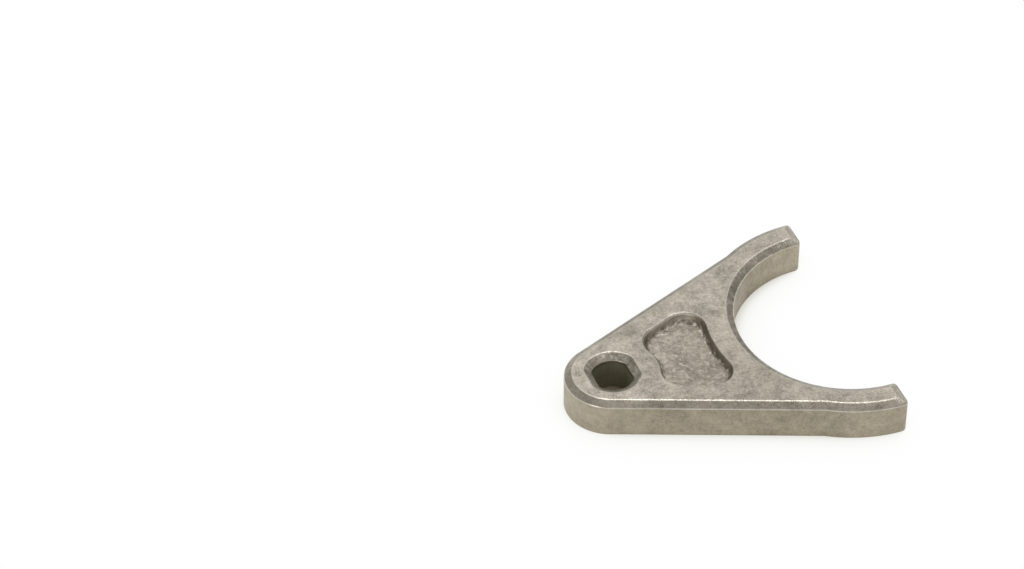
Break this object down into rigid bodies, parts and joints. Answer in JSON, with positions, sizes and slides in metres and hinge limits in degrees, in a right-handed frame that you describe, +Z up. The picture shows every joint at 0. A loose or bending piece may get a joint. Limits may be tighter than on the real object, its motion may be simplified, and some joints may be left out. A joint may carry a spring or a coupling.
{
  "type": "transmission shift fork",
  "caption": "Flat sintered steel shift fork with a keyed shaft hole at its rounded end, a shallow pocket in its web and a half-round jaw between short tines that straddles a sliding collar.",
  "frame": {"origin": "axis of the shaft hole, at the underside", "axes": "+X from the shaft hole towards the open side of the jaw, +Z up from the plain underside to the face with the pocket"},
  "size_m": [0.029, 0.0274, 0.0038],
  "materials": {
    "sintered_steel": "matte, fine-grained, as pressed and sintered"
  },
  "bodies": {
    "root": {"shift_fork": "sintered_steel"}
  },
  "joints": []
}
